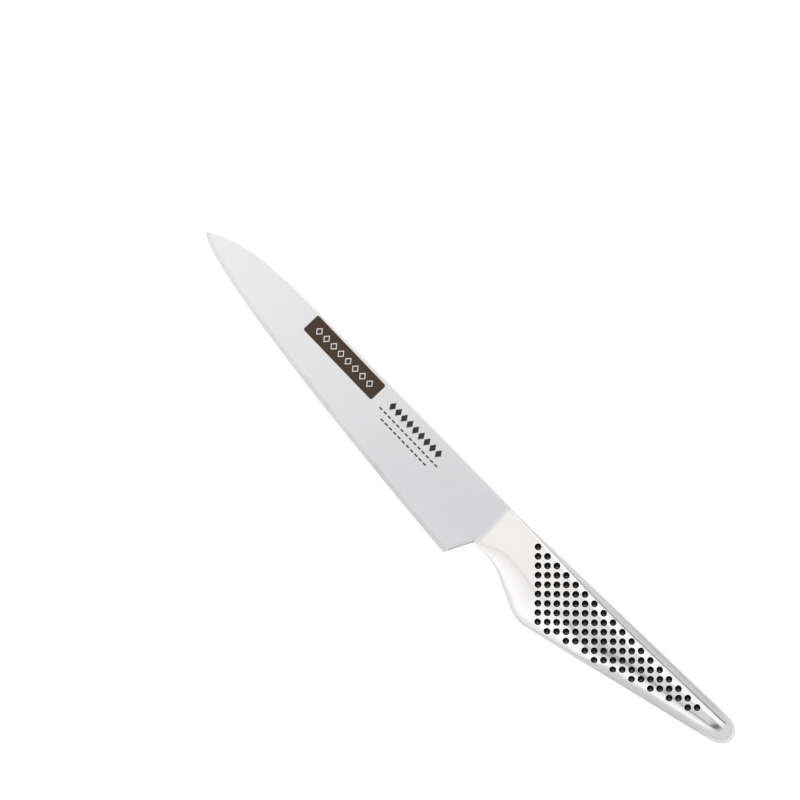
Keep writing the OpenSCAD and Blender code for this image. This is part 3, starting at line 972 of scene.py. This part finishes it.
def make_enamel(look):
    """A drop of enamel in each dimple: a small ball pressed to a thin bowl that fits the steel."""
    bm = bmesh.new()
    enamel_highlight = bm.verts.layers.float.new("enamel_highlight")
    for x, y in DIMPLES:
        home, normal = dimple_home(x, y)
        along, across = axes_on(normal, Vector((1, 0, 0)))
        made = bmesh.ops.create_uvsphere(bm, u_segments=20, v_segments=6, radius=1)
        for v in made["verts"]:
            share = min(math.hypot(v.co.x, v.co.y), 1)
            # The painted highlight, strongest round one spot off the drop's middle
            off = math.hypot(v.co.x - HIGHLIGHT_X, v.co.y - HIGHLIGHT_Y)
            v[enamel_highlight] = smooth_step(HIGHLIGHT_LEVEL - off / HIGHLIGHT_REACH)
            way = along
            if share > 1e-4:
                way = (along * v.co.x + across * v.co.y) / share
            flat = home + way * ENAMEL_R
            rim_drop = (flat - skin_point(flat.x, flat.y)).dot(normal)
            depth = dimple_depth(share * ENAMEL_R / RIM_R, rim_drop) - ENAMEL_GAP
            if v.co.z > 0:
                depth -= ENAMEL_T * (1 - share * share)
            v.co = home + way * ENAMEL_R * share - normal * depth
    for face in bm.faces:
        face.smooth = True
    for side, drops in (("left", bm), ("right", mirrored(bm))):
        node = "dimple_enamel_" + side
        piece(node + "_drops", drops, (look,), (node,))


# Label and print


def side_frame(x, y):
    """The place of the label or the print on the blade's left side, turned in its plane."""
    normal = Vector((-SIDE_PLANE[0], -SIDE_PLANE[1], 1)).normalized()
    way = Vector((math.cos(LABEL_TURN), math.sin(LABEL_TURN), 0))
    along, across = axes_on(normal, way)
    turned = Matrix((along, across, normal)).transposed().to_4x4()
    return Matrix.Translation((x, y, side_z(x, y))) @ turned


def thicken(bm, faces, thickness):
    """Raises flat faces to thin plates that are closed all round."""
    made = bmesh.ops.extrude_face_region(bm, geom=faces, use_keep_orig=True)["geom"]
    above = [g for g in made if isinstance(g, bmesh.types.BMVert)]
    bmesh.ops.translate(bm, verts=above, vec=(0, 0, thickness))
    bmesh.ops.recalc_face_normals(bm, faces=bm.faces[:])


def rounded_plate(bm, size, radius, thickness):
    """A thin plate with round corners, lying on Z = 0."""
    corners = flat_sheet(bm, size)
    cut = {"segments": 6, "profile": 0.5, "affect": "VERTICES", "material": -1}
    bmesh.ops.bevel(bm, geom=corners, offset=radius, **cut)
    thicken(bm, bm.faces[:], thickness)


def lozenge(bm, middle, size, line=None):
    """A flat lozenge, or its outline where a line width is given. Gives back its faces."""
    made = bmesh.ops.create_circle(bm, cap_ends=True, segments=4, radius=1)["verts"]
    bmesh.ops.scale(bm, verts=made, vec=(size[0] / 2, size[1] / 2, 1))
    bmesh.ops.translate(bm, verts=made, vec=middle)
    face = made[0].link_faces[0]
    if not line:
        return [face]
    cut = {"thickness": line, "use_even_offset": True, "use_boundary": True}
    ring = bmesh.ops.inset_region(bm, faces=[face], **cut)["faces"]
    bmesh.ops.delete(bm, geom=[face], context="FACES_ONLY")
    return ring


def spaced(count, pitch):
    """Places in a row, with the row's middle at 0."""
    return [(i - (count - 1) / 2) * pitch for i in range(count)]


def make_label(film, ink):
    """The label: a film with a plain row of lozenges printed on it."""
    bm = bmesh.new()
    rounded_plate(bm, LABEL_SIZE, LABEL_ROUND, LABEL_T)
    plate = set(bm.faces)
    marks = []
    for x in spaced(LABEL_MARKS, MARK_PITCH):
        marks += lozenge(bm, (x, 0, LABEL_T + INK_LIFT), MARK_SIZE, MARK_LINE)
    thicken(bm, marks, INK_T)
    for face in bm.faces:
        face.material_index = 0 if face in plate else 1
    place = side_frame(LABEL_RUN, spine_y(LABEL_RUN) - LABEL_DROP)
    bmesh.ops.transform(bm, matrix=place, verts=bm.verts[:])
    piece("blade_label_film", bm, (film, ink), ("blade_label",))


def make_print(ink):
    """A plain printed mark beside the label: a row of lozenges over two fine dashed rules."""
    bm = bmesh.new()
    for x in spaced(PRINT_MARKS, PRINT_MARK_PITCH):
        lozenge(bm, (x, PRINT_MARK_RISE, INK_LIFT), PRINT_MARK_SIZE)
    for row, count in enumerate(DASH_COUNTS):
        for x in spaced(count, DASH_PITCH):
            flat_sheet(bm, DASH_SIZE, (x, -DASH_DROP - DASH_ROW_DROP * row, INK_LIFT))
    thicken(bm, bm.faces[:], INK_T)
    bmesh.ops.transform(bm, matrix=side_frame(*PRINT_PLACE), verts=bm.verts[:])
    piece("blade_print", bm, (ink,))


# Stage, in metres

FLOOR_SIZE = (12, 12)
FLOOR_SHADE = 0.62
FLOOR_GLOW = 0.57
STUDIO_GREY = (0.745, 0.745, 0.76, 1)
WARM_WHITE = (1, 0.95, 0.88)
LAMP_HEIGHT = 1.0

# Each lamp's reach along X, its reach along Y and its brightness
SOFTBOXES = {
    "softbox_spine_side": ((-0.9, 0.32), (0.31, 1.28), 0.44),
    "softbox_spine_side_middle": ((0.32, 0.42), (0.31, 1.5), 0.44),
    "softbox_spine_side_end": ((0.42, 0.58), (0.31, 1.0), 0.44),
    "softbox_edge_0": ((-0.9, 0.62), (-0.31, -0.45), 0.30),
    "softbox_edge_1": ((-0.9, 0.62), (-0.45, -0.60), 0.38),
    "softbox_edge_2": ((-0.9, 0.62), (-0.60, -0.95), 0.46),
    "softbox_edge_3": ((-0.9, 0.62), (-0.95, -1.5), 0.25),
    "softbox_tip_far": ((-2.2, -0.9), (-0.28, 0.28), 0.22),
}
WARM_SOFTBOXES = {
    "softbox_tip_0": ((-0.9, -0.14), (-0.28, 0.28), 0.34),
    "softbox_tip_1": ((-0.14, -0.02), (-0.28, 0.28), 0.30),
    "softbox_tip_2": ((-0.02, 0.06), (-0.28, 0.28), 0.26),
    "softbox_tip_3": ((0.06, 0.12), (-0.28, 0.28), 0.21),
    "softbox_tip_4": ((0.12, 0.20), (-0.28, 0.28), 0.15),
    "softbox_tip_5": ((0.20, 0.45), (-0.28, 0.28), 0.11),
}
FAR_SOFTBOXES = {
    "softbox_far_spine_side": ((-2.2, 0.6), (1.6, 6.0), 0.08),
    "softbox_far_edge_side": ((-2.2, 0.6), (-6.0, -1.5), 0.05),
    "softbox_far_end": ((0.62, 6.0), (-2.0, 2.0), 0.08),
}

# Each card's reach along X, its reach along Y, its height and its shade. Cards in front of a
# lamp hang a little below it.
DARK_CARDS = {
    "card_back": ((-0.9, 0.32), (1.28, 1.6), 1.0, 0.03),
    "card_back_middle": ((0.32, 0.50), (1.5, 1.85), 0.99, 0.03),
    "card_back_end": ((0.42, 0.68), (1.0, 1.5), 0.99, 0.25),
    "card_middle": ((0.21, 0.36), (-0.19, -0.055), 0.99, 0.76),
    "card_low": ((0.13, 0.20), (-0.35, -0.27), 0.99, 0.76),
    "card_streak_edge_side": ((0.385, 0.44), (-0.22, -0.14), 0.99, 0.25),
    "card_streak_spine_side": ((0.40, 0.45), (0.22, 0.30), 0.99, 0.30),
    "card_end": ((0.49, 0.57), (-0.20, 0.18), 1.0, 0.06),
}

LENS = 100
SENSOR_WIDTH = 36
PICTURE_WIDTH = 0.302
PICTURE_MIDDLE = (-0.04125, 0.01375)
PICTURE_TURN = math.radians(43.7)


def paper(name, shade):
    """A dull material, of one grey."""
    material, tree, shader = new_material(name)
    shader.inputs["Base Color"].default_value = (shade, shade, shade, 1)
    shader.inputs["Roughness"].default_value = 0.9
    return material, tree, shader


def make_floor():
    """A white floor that keeps the knife's soft shadow."""
    bm = bmesh.new()
    flat_sheet(bm, FLOOR_SIZE)
    material, tree, shader = paper("white_floor", FLOOR_SHADE)
    shader.inputs["Specular IOR Level"].default_value = 0.0
    rays = add_node(tree, "ShaderNodeLightPath").outputs
    seen = rays["Is Camera Ray"]
    for kind in ("Is Glossy Ray", "Is Transmission Ray"):
        inputs = {0: seen, 1: rays[kind]}
        seen = add_node(tree, "ShaderNodeMath", inputs, operation="MAXIMUM").outputs[0]
    glow = add_node(tree, "ShaderNodeMath", {0: seen, 1: FLOOR_GLOW}, operation="MULTIPLY")
    shader.inputs["Emission Color"].default_value = (1, 1, 1, 1)
    tree.links.new(glow.outputs[0], shader.inputs["Emission Strength"])
    floor = new_object("floor", bm, (material,))


def softbox(name, x_range, y_range, radiance, colour=(1, 1, 1)):
    """A flat soft light of even brightness, above the camera, that shines straight down."""
    lamp = bpy.data.lights.new(name, "AREA")
    lamp.shape = "RECTANGLE"
    lamp.size = abs(x_range[1] - x_range[0])
    lamp.size_y = abs(y_range[1] - y_range[0])
    lamp.energy = radiance * math.pi * lamp.size * lamp.size_y
    lamp.color = colour
    made = bpy.data.objects.new(name, lamp)
    made.location = (sum(x_range) / 2, sum(y_range) / 2, LAMP_HEIGHT)
    bpy.context.scene.collection.objects.link(made)


def dark_card(name, x_range, y_range, height, shade):
    """A dark card of the studio, which draws the dark lines in the polished steel."""
    size = (x_range[1] - x_range[0], y_range[1] - y_range[0])
    bm = bmesh.new()
    flat_sheet(bm, size, (sum(x_range) / 2, sum(y_range) / 2, height))
    material, _, _ = paper(name, shade)
    card = new_object(name, bm, (material,))


def light_studio():
    """Soft light from above, between grey walls, with a few dark cards beside the lights."""
    world = bpy.data.worlds.new("grey_walls")
    world.use_nodes = True
    background = world.node_tree.nodes["Background"]
    background.inputs["Color"].default_value = STUDIO_GREY
    background.inputs["Strength"].default_value = 1.0
    bpy.context.scene.world = world
    for name, values in SOFTBOXES.items():
        softbox(name, *values)
    for name, values in WARM_SOFTBOXES.items():
        softbox(name, *values, WARM_WHITE)
    for name, values in FAR_SOFTBOXES.items():
        softbox(name, *values)
    for name, values in DARK_CARDS.items():
        dark_card(name, *values)


def place_camera():
    """Straight above the picture's middle, turned so that the knife runs down to the right."""
    data = bpy.data.cameras.new("camera")
    data.lens = LENS
    data.sensor_width = SENSOR_WIDTH
    camera = bpy.data.objects.new("camera", data)
    height = PICTURE_WIDTH * LENS / SENSOR_WIDTH + HANDLE_T / 2 * MM
    camera.location = (*PICTURE_MIDDLE, height)
    camera.rotation_euler = (0, 0, PICTURE_TURN)
    bpy.context.scene.collection.objects.link(camera)
    bpy.context.scene.camera = camera


def dress_sand():
    """The filling keeps its solid and gets grains."""
    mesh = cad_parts["balance_sand"].data
    mesh.materials.clear()
    mesh.materials.append(dry_sand())


place_camera()
bpy.context.scene.view_settings.view_transform = "Standard"
make_floor()
light_studio()
handle_look = polished_steel()
make_blade(satin_steel(), ground_steel(), handle_look, choil_shade_steel())
make_shells(handle_look)
make_seam(weld_steel())
make_neck(neck_steel())
make_enamel(black_enamel())
make_label(label_film(), pale_ink())
make_print(black_ink())
dress_sand()
